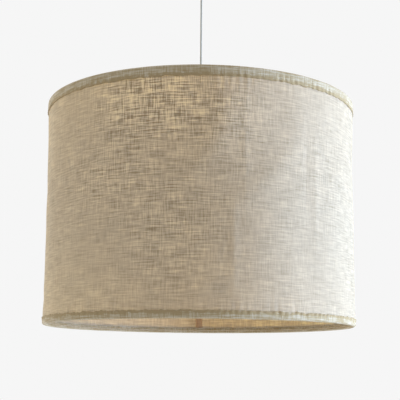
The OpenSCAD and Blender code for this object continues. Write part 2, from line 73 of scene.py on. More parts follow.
# How far each turned edge reaches down the outside, and how far both reach inside
TOP_HEM = 17 * MM
BOTTOM_HEM = 12 * MM
INNER_HEM = 9 * MM

# Even light in front of the lamp, faintly cool, and off the wall behind it, warm
ROOM_LIGHT = "F6FBFF"
WALL_LIGHT = "FFF8E0"
FLOOR_R = 7.0
FLOOR_Z = -2.4
FLOOR_T = 0.02


# ---- Values a user would change ----

class ClothSizes(bpy.types.PropertyGroup):
    """Sizes of the linen, its turned edges and its unevenness."""
    thickness: bpy.props.FloatProperty(
        name="Cloth", description="Thickness of the linen and its lining film",
        default=0.7 * MM, unit="LENGTH", precision=4)
    waist: bpy.props.FloatProperty(
        name="Waist", description="How far the cloth draws in halfway down",
        default=1.5 * MM, unit="LENGTH", precision=4)
    ripple: bpy.props.FloatProperty(
        name="Ripple", description="Height of the broad unevenness of the stretched cloth",
        default=0.6 * MM, unit="LENGTH", precision=4)
    crease: bpy.props.FloatProperty(
        name="Crease", description="Height of the few soft upright creases",
        default=0.9 * MM, unit="LENGTH", precision=4)
    pucker: bpy.props.FloatProperty(
        name="Pucker", description="Height of the small gathers along a turned edge",
        default=0.5 * MM, unit="LENGTH", precision=4)
    seam_width: bpy.props.FloatProperty(
        name="Seam", description="Width of the lapped side seam",
        default=12 * MM, unit="LENGTH")


class Finishes(bpy.types.PropertyGroup):
    """Colours that a user would change, as sRGB hex."""
    linen: bpy.props.StringProperty(
        name="Linen", description="Colour of the linen by reflected light", default="F1EFEB")
    lit_linen: bpy.props.StringProperty(
        name="Lit linen", description="Colour of light that has come through the linen",
        default="FAE6B0")
    wire: bpy.props.StringProperty(
        name="Wire", description="Colour of the powder coat on the wire frame",
        default="F1EFEA")
    fitting: bpy.props.StringProperty(
        name="Fittings", description="Colour of the moulded rose and lampholder",
        default="F2F0EB")
    cord: bpy.props.StringProperty(
        name="Cord", description="Colour of the cord's sheath", default="A9A8A5")


class StageSettings(bpy.types.PropertyGroup):
    """Light and backdrop."""
    key: bpy.props.FloatProperty(
        name="Key", description="Power of the softbox at the right", default=98.0,
        unit="POWER")
    wall: bpy.props.FloatProperty(
        name="Wall", description="Power of the light behind at the left", default=55.0,
        unit="POWER")
    fill: bpy.props.FloatProperty(
        name="Room", description="Strength of the even light in front", default=0.55)
    surround: bpy.props.FloatProperty(
        name="Surround", description="Strength of the even light behind", default=1.7)
    daylight: bpy.props.StringProperty(
        name="Daylight", description="Colour of the softbox", default="C8E2FF")
    backdrop: bpy.props.StringProperty(
        name="Backdrop", description="Colour behind the lamp", default="F6F6F6")


# ---- Small helpers ----

def linear(code):
    """An sRGB hex code as linear red, green, blue and a full alpha."""
    parts = np.array([int(code[i:i + 2], 16) for i in (0, 2, 4)]) / 255
    low = parts / 12.92
    high = ((parts + 0.055) / 1.055) ** 2.4
    return (*np.where(parts <= 0.04045, low, high).tolist(), 1.0)


def add(tree, kind, settings=(), links=()):
    """Adds one node to a tree; a setting is an attribute or a socket, a link goes to a socket."""
    made = tree.nodes.new(kind)
    for key, value in dict(settings).items():
        if isinstance(key, str) and hasattr(made, key):
            setattr(made, key, value)
        else:
            made.inputs[key].default_value = value
    for key, source in dict(links).items():
        tree.links.new(source, made.inputs[key])
    return made


def blank(name):
    """A new material with an output node only; returns the material, its tree and the output."""
    made = bpy.data.materials.new(name)
    made.use_nodes = True
    made.node_tree.nodes.clear()
    output = made.node_tree.nodes.new("ShaderNodeOutputMaterial")
    return made, made.node_tree, output


def surface(name, points, uv, closed=(True, True), caps=False):
    """A mesh from a grid of points, shaped (rings, round, 3).

    Each cell of the grid is one face. closed says whether the last ring joins the first, and
    whether each ring joins itself. uv, shaped (rings + 1, round + 1, 2), holds the cloth's own
    coordinates at the corners, in metres. caps closes the first and the last ring.
    """
    rings, count = points.shape[:2]
    across = rings if closed[0] else rings - 1
    along = count if closed[1] else count - 1
    i, j = np.meshgrid(np.arange(across), np.arange(along), indexing="ij")
    i2, j2 = (i + 1) % rings, (j + 1) % count
    faces = np.stack([i * count + j, i2 * count + j, i2 * count + j2, i * count + j2], -1)
    corners = np.stack([uv[i, j], uv[i + 1, j], uv[i + 1, j + 1], uv[i, j + 1]], 2)
    polygons = faces.reshape(-1, 4).tolist()
    flat_uv = corners.reshape(-1, 2)
    if caps:
        first, last = np.arange(count), (rings - 1) * count + np.arange(count)
        polygons += [first.tolist(), last[::-1].tolist()]
        flat_uv = np.concatenate([flat_uv, uv[0, :count], uv[rings - 1, :count][::-1]])
    mesh = bpy.data.meshes.new(name)
    mesh.from_pydata(points.reshape(-1, 3).tolist(), [], polygons)
    layer = mesh.uv_layers.new(name="weave")
    layer.data.foreach_set("uv", flat_uv.astype(np.float32).ravel())
    mesh.polygons.foreach_set("use_smooth", np.ones(len(polygons), dtype=bool))
    mesh.update()
    made = bpy.data.objects.new(name, mesh)
    bpy.context.scene.collection.objects.link(made)
    return made


def around(count):
    """Angles round the shade, from the seam at the back and on past the left of the front."""
    return -math.pi + np.arange(count) * TURN / count


def revolve(angles, radius, height):
    """Points at an angle from the front, a radius from the axis, and a height."""
    radius, height = np.broadcast_arrays(radius, height)
    turn = angles[:, None]
    return np.stack([radius * np.sin(turn), -radius * np.cos(turn), height], -1)


def waves(angles, count, lowest, highest, seed):
    """A sum of count sines round the shade, each a whole number of waves, scaled to rms 1."""
    draw = np.random.default_rng(seed)
    number = draw.integers(lowest, highest, count)
    phase = draw.uniform(0, TURN, count)
    size = draw.uniform(0.5, 1, count)
    total = (size * np.sin(angles[..., None] * number + phase)).sum(-1)
    return total / math.sqrt((size ** 2).sum() / 2)


def smoothed(rise, low, high):
    """The smooth step of a value between two limits, 0 below and 1 above."""
    share = np.clip((rise - low) / (high - low), 0, 1)
    return share * share * (3 - 2 * share)


# ---- Materials ----

def mottle(tree, place, long, thick, detail=2, uneven=0.65, shift=(0, 0, 0)):
    """Noise in blots long by thick metres on the cloth, for slubs, patches and stains."""
    scaled = add(tree, "ShaderNodeMapping", {"Scale": (1 / long, 1 / thick, 1), "Location": shift},
                 {"Vector": place}).outputs[0]
    return add(tree, "ShaderNodeTexNoise",
               {"noise_dimensions": "2D", "Scale": 1, "Detail": detail, "Roughness": uneven},
               {"Vector": scaled}).outputs[0]


def woven_linen(name, through, slub, lit_slub, streak=1.0, tone=0.5, edge_glue_and_shade=0.0):
    """Slubbed plain-weave linen on a clear lining film, with light passing through it.

    Real flax yarn is uneven: thick slubs run a few centimetres along single threads. A slub
    is browner and lets less light through, so the streaks show darkest where light comes
    through the cloth.
    through is the share of light that passes one face of the cloth. slub and lit_slub are a
    slub's colours by reflected and by passing light. streak is how strongly slubs stand out,
    tone how much of the cloth is slub, and edge_glue_and_shade how dark the fold's edge is made by
    painted shade, standing in for its small shadows, together with glue.
    """
    shades = bpy.context.scene.pendant_finishes
    made, tree, output = blank(name)
    place = add(tree, "ShaderNodeUVMap", {"uv_map": "weave"}).outputs["UV"]
    # Slubs along the weft, drawn 2 mm thick so that they show, and about 30 mm long
    weft = mottle(tree, place, 32 * MM, 2 * MM)
    # Slubs along the warp: as thick, and a little shorter
    warp = mottle(tree, place, 2 * MM, 24 * MM, shift=(7.3, 2.1, 0))
    # Broad patches where the loom beat the weft up tighter
    patch = mottle(tree, place, 60 * MM, 18 * MM, detail=3, uneven=0.55)
    threads = add(tree, "ShaderNodeMath", {"operation": "MULTIPLY_ADD", 1: 0.58},
                  {0: weft, 2: add(tree, "ShaderNodeMath", {"operation": "MULTIPLY", 1: 0.42},
                                   {0: warp}).outputs[0]}).outputs[0]
    slubs = add(tree, "ShaderNodeMath", {"operation": "MULTIPLY_ADD", 1: 0.14},
                {0: patch, 2: add(tree, "ShaderNodeMath", {"operation": "MULTIPLY", 1: 0.86},
                                  {0: threads}).outputs[0]}).outputs[0]
    # Where the yarn is at its most uneven the slubs stand out more; "heavy" says where
    heavy = add(tree, "ShaderNodeAttribute", {"attribute_name": "heavy"}).outputs["Fac"]
    offset = add(tree, "ShaderNodeMath", {"operation": "SUBTRACT", 1: 0.5},
                 {0: slubs}).outputs[0]
    gain = add(tree, "ShaderNodeMath",
               {"operation": "MULTIPLY_ADD", 1: 5.2 * streak, 2: 0.95 * streak},
               {0: heavy}).outputs[0]
    bulk = add(tree, "ShaderNodeMath",
               {"operation": "MULTIPLY_ADD", 2: tone, "use_clamp": True},
               {0: offset, 1: gain}).outputs[0]
    if edge_glue_and_shade:
        # Painted shade along the fold in short touches, 8 to 15 mm apart: it stands in for the
        # small shadows where the fold lifts, together with glue drawn into it
        glue_and_shade_blots = mottle(tree, place, 11 * MM, 20 * MM, uneven=0.6)
        mark = add(tree, "ShaderNodeAttribute", {"attribute_name": "fold"}).outputs["Fac"]
        touch = add(tree, "ShaderNodeMapRange", {1: 0.42, 2: 0.62, 3: 0.25, 4: 1.0},
                    {0: glue_and_shade_blots}).outputs[0]
        folded = add(tree, "ShaderNodeMath", {"operation": "MULTIPLY"},
                     {0: touch, 1: mark}).outputs[0]
        bulk = add(tree, "ShaderNodeMath",
                   {"operation": "MULTIPLY_ADD", 1: edge_glue_and_shade, "use_clamp": True},
                   {0: folded, 2: bulk}).outputs[0]
    # Plain weave, drawn at 1.1 mm a thread so that it shows: warp and weft cross by turns
    cross = add(tree, "ShaderNodeMapping", {"Scale": (1 / (1.1 * MM), 1 / (1.1 * MM), 1)},
                {"Vector": place}).outputs[0]
    parts = add(tree, "ShaderNodeSeparateXYZ", links={0: cross}).outputs
    half_turns = [add(tree, "ShaderNodeMath", {"operation": "MULTIPLY", 1: math.pi},
                      {0: part}).outputs[0] for part in (parts[0], parts[1])]
    swings = [add(tree, "ShaderNodeMath", {"operation": "SINE"}, {0: turn}).outputs[0]
              for turn in half_turns]
    crowns = [add(tree, "ShaderNodeMath", {"operation": "ABSOLUTE"}, {0: swing}).outputs[0]
              for swing in swings]
    over = add(tree, "ShaderNodeMath", {"operation": "MULTIPLY"},
               {0: swings[0], 1: swings[1]}).outputs[0]
    lifts = [add(tree, "ShaderNodeMath", {"operation": "MULTIPLY_ADD", 1: sign, 2: 0.6},
                 {0: over}).outputs[0] for sign in (0.4, -0.4)]
    yarns = [add(tree, "ShaderNodeMath", {"operation": "MULTIPLY"},
                 {0: crown, 1: lift}).outputs[0] for crown, lift in zip(crowns, lifts)]
    weave = add(tree, "ShaderNodeMath", {"operation": "MAXIMUM"},
                {0: yarns[0], 1: yarns[1]}).outputs[0]
    relief = add(tree, "ShaderNodeMath", {"operation": "MULTIPLY_ADD", 1: 0.5},
                 {0: weave, 2: bulk}).outputs[0]
    bump = add(tree, "ShaderNodeBump", {"Strength": 0.5, "Distance": 0.3 * MM},
               {"Height": relief}).outputs[0]
    face_colour = add(tree, "ShaderNodeMix",
                      {"data_type": "RGBA", 6: linear(shades.linen), 7: linear(slub)},
                      {0: bulk}).outputs[2]
    lit_colour = add(tree, "ShaderNodeMix",
                     {"data_type": "RGBA", 6: linear(shades.lit_linen), 7: linear(lit_slub)},
                     {0: bulk}).outputs[2]
    share = add(tree, "ShaderNodeMapRange",
                {1: 0.0, 2: 1.0, 3: through + 0.08, 4: through - 0.1}, {0: bulk}).outputs[0]
    face = add(tree, "ShaderNodeBsdfPrincipled",
               {"Roughness": 0.85, "IOR": 1.5, "Specular IOR Level": 0.15,
                "Sheen Weight": 0.08, "Sheen Roughness": 0.5},
               {"Base Color": face_colour, "Normal": bump}).outputs[0]
    glow = add(tree, "ShaderNodeBsdfTranslucent", links={"Color": lit_colour,
                                                         "Normal": bump}).outputs[0]
    add_up = add(tree, "ShaderNodeMixShader", links={0: share, 1: face, 2: glow}).outputs[0]
    tree.links.new(add_up, output.inputs["Surface"])
    return made


def finish(name, dark, light, grain, relief, rough, stretch=(1, 1, 1), **shader):
    """A Principled finish whose colour, roughness and relief all follow one grain.

    dark and light are the ends of its colour, grain the grain's size and relief its height in
    millimetres, rough the least and greatest roughness. stretch draws the grain out, as
    brushing, turning or drawing does. Other words go straight to the shader's sockets.
    """
    made, tree, output = blank(name)
    place = add(tree, "ShaderNodeTexCoord").outputs["Object"]
    spread = add(tree, "ShaderNodeMapping", {"Scale": stretch}, {"Vector": place}).outputs[0]
    fine = add(tree, "ShaderNodeTexNoise",
               {"Scale": 1 / (grain * MM), "Detail": 3, "Roughness": 0.6},
               {"Vector": spread}).outputs[0]
    broad = add(tree, "ShaderNodeTexNoise", {"Scale": 1 / (14 * MM), "Detail": 2},
                {"Vector": place}).outputs[0]
    blend = add(tree, "ShaderNodeMath", {"operation": "MULTIPLY_ADD", 1: 0.5},
                {0: fine, 2: add(tree, "ShaderNodeMath", {"operation": "MULTIPLY", 1: 0.5},
                                 {0: broad}).outputs[0]}).outputs[0]
    share = add(tree, "ShaderNodeMapRange", {1: 0.36, 2: 0.64}, {0: blend}).outputs[0]
    colour = add(tree, "ShaderNodeMix",
                 {"data_type": "RGBA", 6: linear(dark), 7: linear(light)},
                 {0: share}).outputs[2]
    roughness = add(tree, "ShaderNodeMapRange", {1: 0.36, 2: 0.64, 3: rough[1], 4: rough[0]},
                    {0: blend}).outputs[0]
    bump = add(tree, "ShaderNodeBump", {"Strength": 0.6, "Distance": relief * MM},
               {"Height": fine}).outputs[0]
    face = add(tree, "ShaderNodeBsdfPrincipled", shader,
               {"Base Color": colour, "Roughness": roughness, "Normal": bump}).outputs[0]
    tree.links.new(face, output.inputs["Surface"])
    return made


def clothe(material, *nodes):
    """Puts a material on every slot of the frame's own parts."""
    for name in nodes:
        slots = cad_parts[name].material_slots
        if not slots:
            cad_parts[name].data.materials.append(material)
        for slot in slots:
            slot.material = material


# ---- The pieces ----

def pose_camera(camera):
    """Stands the camera below the shade's rim, tipped up a little, with a short lens shift."""
    camera.location = (0.0, -1.6, -0.7092)
    camera.rotation_euler = (math.radians(90 + 7.88), 0, 0)
    camera.rotation_euler.rotate_axis("Z", math.radians(0.45))
    camera.data.lens = 88.7
    camera.data.sensor_width = 36.0
    camera.data.shift_x = 0.001
    camera.data.shift_y = 0.092
    camera.data.clip_end = 60.0


class PENDANT_OT_stage(bpy.types.Operator):
    """Floor, backdrop, lights and camera"""
    bl_idname = "pendant.stage"
    bl_label = "Stage"

    def execute(self, context):
        scene = context.scene
        settings = scene.pendant_stage
        scene.view_settings.view_transform = "Standard"

        camera = bpy.data.objects.new("camera", bpy.data.cameras.new("camera"))
        scene.collection.objects.link(camera)
        pose_camera(camera)
        scene.camera = camera

        world = bpy.data.worlds.new("studio")
        world.use_nodes = True
        tree = world.node_tree
        tree.nodes.clear()
        seen = add(tree, "ShaderNodeBackground", {"Color": linear(settings.backdrop)})
        # The room is dimmer in front of the lamp than the lit wall behind it
        bearing = add(tree, "ShaderNodeSeparateXYZ", links={0: add(
            tree, "ShaderNodeTexCoord").outputs["Generated"]}).outputs["Y"]
        depth = add(tree, "ShaderNodeMapRange", {1: -1.0, 2: 1.0}, {0: bearing}).outputs[0]
        front = add(tree, "ShaderNodeBackground",
                    {"Color": linear(ROOM_LIGHT), "Strength": settings.fill})
        behind = add(tree, "ShaderNodeBackground",
                     {"Color": linear(WALL_LIGHT), "Strength": settings.surround})
        even = add(tree, "ShaderNodeMixShader",
                   links={0: depth, 1: front.outputs[0], 2: behind.outputs[0]})
        path = add(tree, "ShaderNodeLightPath")
        both = add(tree, "ShaderNodeMixShader",
                   links={0: path.outputs["Is Camera Ray"], 1: even.outputs[0],
                          2: seen.outputs[0]})
        add(tree, "ShaderNodeOutputWorld", links={"Surface": both.outputs[0]})
        scene.world = world

        # A tall cool softbox at the right, which also reaches up under the bottom ring, and a
        # broad one behind at the left, as from a lit wall: name, place, aim, width and height in
        # metres, power, colour
        for name, place, aim, size, power, colour in (
                ("side_softbox", (2.1, -0.12, -0.5), (-1, 0, 0), (0.6, 1.8), settings.key,
                 settings.daylight),
                ("wall_light", (-1.5, 2.4, -0.4), (1.5, -2.4, 0), (2.4, 2.4), settings.wall,
                 "FFFFFF")):
            data = bpy.data.lights.new(name, "AREA")
            data.shape = "RECTANGLE"
            data.size, data.size_y = size
            data.energy = power
            data.color = linear(colour)[:3]
            light = bpy.data.objects.new(name, data)
            light.location = place
            light.rotation_euler = Vector(aim).to_track_quat("-Z", "Y").to_euler()
            light.visible_camera = False
            scene.collection.objects.link(light)

        # Floor: a round pale board, low enough to clear the lamp
        angles = np.arange(96) * TURN / 96
        levels = np.array([FLOOR_Z - FLOOR_T, FLOOR_Z])[:, None]
        board = np.stack(np.broadcast_arrays(
            FLOOR_R * np.cos(angles)[None, :], FLOOR_R * np.sin(angles)[None, :], levels), -1)
        floor = surface("floor", board, np.zeros((3, 97, 2)), closed=(False, True), caps=True)
        recalculate(floor)
        floor.data.materials.append(finish(
            "matt_painted_board", "D3D2CF", "DAD9D6", 60, 0.1, (0.7, 0.85)))
        return {"FINISHED"}


class PENDANT_OT_cord(bpy.types.Operator):
    """Round two-core cord, taut between the rose's grip and the lampholder's"""
    bl_idname = "pendant.cord"
    bl_label = "Cord"

    def execute(self, context):
        shades = context.scene.pendant_finishes
        top, bottom = CORD_HIGH[2], CORD_LOW[2]
        # Shares of the way down, closer together near each grip
        steps = np.array([
            0, 0.04, 0.08, 0.12, 0.16, 0.2, 0.25, 0.3, 0.35, 0.4, 0.45, 0.5,
            0.55, 0.6, 0.65, 0.7, 0.75, 0.8, 0.84, 0.88, 0.92, 0.96, 1])
        heights = top + steps * (bottom - top)
        cord_r = 1.6 * MM
        sides = 20
        angles = np.arange(sides) * TURN / sides
        # The sheath shows the two cores inside it as a very slight twist in its roundness
        twist = angles[None, :] * 2 + heights[:, None] / 0.03 * TURN
        radius = cord_r * (1 + 0.02 * np.cos(twist))
        points = np.stack([
            radius * np.cos(angles), radius * np.sin(angles),
            np.broadcast_to(heights[:, None], radius.shape)], -1)[::-1]
        u, v = np.meshgrid(np.arange(len(steps) + 1) / len(steps) * (top - bottom),
                           np.arange(sides + 1) / sides * TURN * cord_r, indexing="ij")
        cord = surface("cord_sheath", points, np.stack([v, u], -1), closed=(False, True),
                       caps=True)
        recalculate(cord)
        # Extruded PVC sheath: satin, with faint draw marks along it
        cord.data.materials.append(finish(
            "extruded_pvc_sheath", "9A9996", shades.cord, 1.6, 0.02, (0.38, 0.5),
            stretch=(1, 1, 0.08), IOR=1.53))
        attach(cord, "cord")
        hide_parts("pendant_cord")
        clothe(cord.data.materials[0], "rose_cord_tail", "holder_cord_tail")
        return {"FINISHED"}


def recalculate(piece):
    """Turns every face of a closed mesh outwards."""
    work = bmesh.new()
    work.from_mesh(piece.data)
    bmesh.ops.recalc_face_normals(work, faces=work.faces)
    work.to_mesh(piece.data)
    work.free()


def cloth_offset(turn, height, sizes):
    """How far the stretched cloth stands out from its true cylinder, in metres.

    It draws in halfway between the rings as a half sine, carries broad ripples whose size
    fades towards the rings, gathers that fade away from each hem, and a few soft creases,
    each a narrow bell across and a broad bell along.
    """
    share = (height - BOTTOM_Z) / (TOP_Z - BOTTOM_Z)
    belly = np.sin(math.pi * np.clip(share, 0, 1))
    waist = -sizes.waist * belly
    drift = (height - BOTTOM_Z) * 1.3
    ripple = (waves(turn + 0.35 * np.sin(9 * height), 7, 7, 17, 5)
              + 0.7 * waves(turn + 0.9 * np.sin(7 * height + 1) - drift, 7, 12, 26, 8)
              * np.cos(9 * height))
    ripple = sizes.ripple * ripple * (0.35 + 0.65 * belly)
    # The gathers die away over 16 mm below the top hem and over 12 mm above the bottom one
    top_gather = waves(turn, 14, 95, 170, 21) * np.exp((height - TOP_Z + TOP_HEM) / (16 * MM))
    low_gather = waves(turn, 14, 95, 170, 22) * np.exp((BOTTOM_Z + BOTTOM_HEM - height)
                                                       / (12 * MM))
    gather = 0.32 * sizes.pucker * (np.clip(top_gather, -2, 2) + np.clip(low_gather, -2, 2))
    creases = 0
    # Angle from the front in degrees, height share, half width in degrees, half length share
    for angle, middle, wide, tall, size in (
            (43, 0.5, 1.5, 0.24, 1.0), (38.5, 0.62, 1.1, 0.16, -0.7), (11, 0.28, 1.6, 0.14, 0.9),
            (15, 0.7, 1.4, 0.2, 0.5), (-24, 0.45, 2.2, 0.3, 0.6), (-52, 0.6, 2.0, 0.25, -0.6),
            (118, 0.4, 1.7, 0.2, 0.8), (-128, 0.55, 1.9, 0.22, 0.8), (70, 0.35, 1.6, 0.2, -0.5)):
        across = (turn - math.radians(angle)) / math.radians(wide)
        along = (share - middle) / tall
        creases = creases + size * np.exp(-across ** 2 - along ** 2)
    return waist + ripple + gather + sizes.crease * creases


class PENDANT_OT_cover(bpy.types.Operator):
    """Linen drum, stretched between the two rings"""
    bl_idname = "pendant.cover"
    bl_label = "Linen cover"

    def execute(self, context):
        sizes = context.scene.pendant_cloth
        count, levels, edge = 640, 61, 5
        turn = around(count)
        low, high = COVER_LOW[2] + 0.3 * MM, COVER_HIGH[2] - 0.3 * MM
        half = sizes.thickness / 2
        # One loop across the cloth: up the outside, over the edge, down the inside, back
        heights = np.linspace(low, high, levels)
        bend = np.linspace(0, math.pi, edge + 2)[1:-1]
        side = np.concatenate([np.full(levels, half), half * np.cos(bend),
                               np.full(levels, -half), -half * np.cos(bend)])
        rise = np.concatenate([heights, high + half * np.sin(bend), heights[::-1],
                               low - half * np.sin(bend)])
        grid_turn, grid_rise = np.meshgrid(turn, rise, indexing="ij")
        radius = COVER_R - half + side + cloth_offset(grid_turn, grid_rise, sizes)
        points = revolve(turn, radius, np.broadcast_to(rise, radius.shape))
        u = (np.arange(count + 1) / count * TURN * COVER_R)[:, None]
        v = np.append(rise, rise[0])[None, :]
        uv = np.stack(np.broadcast_arrays(u, v), -1)
        cover = surface("linen_drum", points, uv)
        recalculate(cover)
        share = (grid_rise - BOTTOM_Z) / (TOP_Z - BOTTOM_Z)
        heavy = 0.12 + 0.1 * waves(grid_turn, 5, 2, 9, 51) * np.cos(9 * share + 1)
        # Angle from the front in degrees, height share, half width in degrees, half height
        for angle, middle, wide, tall, size in (
                (-17, 0.86, 17, 0.16, 0.9), (-28, 0.55, 16, 0.12, 0.35), (8, 0.8, 12, 0.2, 0.3),
                (-8, 0.4, 14, 0.2, 0.3), (75, 0.6, 18, 0.3, 0.1), (150, 0.4, 24, 0.25, 0.6),
                (-120, 0.7, 22, 0.2, 0.6)):
            across = (np.degrees(grid_turn) - angle) / wide
            heavy = heavy + size * np.exp(-across ** 2 - ((share - middle) / tall) ** 2)
        mark = cover.data.attributes.new("heavy", "FLOAT", "POINT")
        mark.data.foreach_set("value", np.clip(heavy, 0, 1).astype(np.float32).ravel())
        cover.data.materials.append(woven_linen("slubbed_linen", 0.46, "A99D84", "AC8441"))
        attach(cover, "shade")
        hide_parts("linen_cover")
        return {"FINISHED"}


def hem_section(depth, inner_depth, sizes):
    """The section of a turned edge round its ring, as radius and drop below the edge.

    Its middle line runs up the outside, half round the ring and down the inside. The strip
    is thickened to both sides of that line, more so at the outer fold, and its ends are round.
    """
    bead = BEAD_R - sizes.thickness / 2
    middle_r = HEM_HIGH[0] - BEAD_R
    outer = COVER_R + sizes.thickness / 2 + 0.1 * MM
    inner = COVER_R - 1.5 * sizes.thickness - 0.2 * MM
    straight = np.linspace(depth - 0.9 * MM, BEAD_R + 0.6 * MM, 12)
    arc = np.linspace(0, math.pi, 17)
    down = np.linspace(BEAD_R + 1.4 * MM, inner_depth, 7)
    ease = smoothed(down, BEAD_R, BEAD_R + 3.2 * MM)
    line_r = np.concatenate([
        outer + (middle_r + bead - outer) * smoothed(-straight, -BEAD_R - 4 * MM, -BEAD_R),
        middle_r + bead * np.cos(arc),
        middle_r - bead + (inner - middle_r + bead) * ease])
    line_d = np.concatenate([straight, BEAD_R - bead * np.sin(arc), down])
    step_r, step_d = np.gradient(line_r), np.gradient(line_d)
    size = np.hypot(step_r, step_d)
    normal_r, normal_d = -step_d / size, step_r / size
    along = np.concatenate([[0], np.cumsum(np.hypot(np.diff(line_r), np.diff(line_d)))])
    fold = np.exp(-(along / (2.2 * MM)) ** 2)
    half = sizes.thickness / 2 * (1 + 0.7 * fold)
    tip = np.linspace(0, math.pi, 7)[1:-1]
    start = (line_r[0] + half[0] * (normal_r[0] * np.cos(tip) - step_r[0] / size[0] * np.sin(tip)),
             line_d[0] + half[0] * (normal_d[0] * np.cos(tip) - step_d[0] / size[0] * np.sin(tip)))
    end = (line_r[-1] + half[-1] * (-normal_r[-1] * np.cos(tip)
                                    + step_r[-1] / size[-1] * np.sin(tip)),
           line_d[-1] + half[-1] * (-normal_d[-1] * np.cos(tip)
                                    + step_d[-1] / size[-1] * np.sin(tip)))
    face_r = line_r + half * normal_r
    back_r = line_r - half * normal_r
    face_d = line_d + half * normal_d
    back_d = line_d - half * normal_d
    radius = np.concatenate([back_r, end[0], face_r[::-1], start[0]])
    drop = np.concatenate([back_d, end[1], face_d[::-1], start[1]])
    place = np.concatenate([along, np.full(5, along[-1]), along[::-1], np.full(5, 0)])
    return radius, drop, place


class PENDANT_OT_hems(bpy.types.Operator):
    """Cloth edges turned over the top and bottom rings and glued down"""
    bl_idname = "pendant.hems"
    bl_label = "Turned edges"

    def execute(self, context):
        sizes = context.scene.pendant_cloth
        count = 960
        turn = around(count)
        # Doubled linen passes little light; its colours are also set darker and browner than the
        # cover's, as painted shade for the turned edges
        cloth = woven_linen("doubled_linen_painted_shade", 0.08, "9B8A6D", "8A6536", tone=0.84,
                            edge_glue_and_shade=0.9)
        # Name, the frame's node, height of the edge, way in, reach down the outside, seed
        for name, node, edge_z, sign, depth, seed in (
                ("top_turned_edge", "top_hem", TOP_Z, -1, TOP_HEM, 31),
                ("bottom_turned_edge", "bottom_hem", BOTTOM_Z, 1, BOTTOM_HEM, 37)):
            radius, drop, place = hem_section(depth, INNER_HEM, sizes)
            outside = smoothed(radius, COVER_R - 0.5 * MM, COVER_R)
            free = outside * smoothed(drop, BEAD_R, depth)
            # Small gathers: narrow where the cloth lies over itself, and uneven in size
            fine = waves(turn, 16, 105, 200, seed)
            strength = 0.75 + 0.45 * waves(turn, 5, 3, 12, seed + 1)
            pucker = sizes.pucker * strength * (fine - 0.5 * np.maximum(fine - 0.6, 0) ** 2)
            hang = 0.35 * MM * waves(turn, 8, 30, 90, seed + 2) + 0.2 * MM * fine
            follow = cloth_offset(turn, np.full(count, edge_z + sign * depth), sizes)
            grid_r = (radius[None, :] + pucker[:, None] * (0.15 + 0.6 * free)[None, :] * outside
                      + follow[:, None] * free[None, :] * 0.8 + 0.25 * MM * outside)
            grid_d = drop[None, :] + hang[:, None] * free[None, :] ** 2
            points = revolve(turn, grid_r, edge_z + sign * grid_d)
            u = (np.arange(count + 1) / count * TURN * COVER_R)[:, None]
            v = (np.append(place, place[0]) * sign + edge_z + 0.5)[None, :]
            uv = np.stack(np.broadcast_arrays(u, v), -1)
            hem = surface(name, points, uv)
            recalculate(hem)
            fold = np.broadcast_to((outside * np.exp(-(place / (3.2 * MM)) ** 2))[None, :],
                                   grid_r.shape)
            mark = hem.data.attributes.new("fold", "FLOAT", "POINT")
            mark.data.foreach_set("value", fold.astype(np.float32).ravel())
            mark = hem.data.attributes.new("heavy", "FLOAT", "POINT")
            mark.data.foreach_set("value", np.full(grid_r.size, 0.15, dtype=np.float32))
            hem.data.materials.append(cloth)
            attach(hem, "shade")
            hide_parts(node)
        return {"FINISHED"}


class PENDANT_OT_seam(bpy.types.Operator):
    """Lapped seam up the back, glued inside the cover"""
    bl_idname = "pendant.seam"
    bl_label = "Side seam"

    def execute(self, context):
        sizes = context.scene.pendant_cloth
        low, high = (corner[2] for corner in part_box("side_seam"))
        levels = 61
        heights = np.linspace(low, high, levels)
        half_width = sizes.seam_width / 2 / COVER_R
        across = np.linspace(-1, 1, 13)
        half = 0.45 * sizes.thickness * np.sqrt(np.clip(1 - across ** 8, 0.02, 1))
        side = np.concatenate([across, across[::-1]])
        lift = np.concatenate([half, -half[::-1]])
        grid_side, grid_z = np.meshgrid(side, heights, indexing="xy")
        wander = 0.5 * MM / COVER_R * np.sin(heights * 41)[:, None]
        turn = math.pi + grid_side * half_width + wander
        radius = (COVER_R - 1.55 * sizes.thickness - 0.1 * MM + lift[None, :]
                  + cloth_offset(turn - TURN * (turn > math.pi), grid_z, sizes))
        points = np.stack([radius * np.sin(turn), -radius * np.cos(turn), grid_z], -1)
        u = np.append(side, side[0])[None, :] * half_width * COVER_R
        v = np.append(heights, heights[-1])[:, None]
        uv = np.stack(np.broadcast_arrays(u, v), -1)
        seam = surface("lapped_seam", points, uv, closed=(False, True), caps=True)
        recalculate(seam)
        # The lap is pressed flat in clear glue, which lets more light through than loose cloth
        seam.data.materials.append(
            woven_linen("slubbed_linen_lap", 0.74, "C8BDA8", "D9B98A"))
        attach(seam, "shade")
        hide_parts("side_seam")
        return {"FINISHED"}


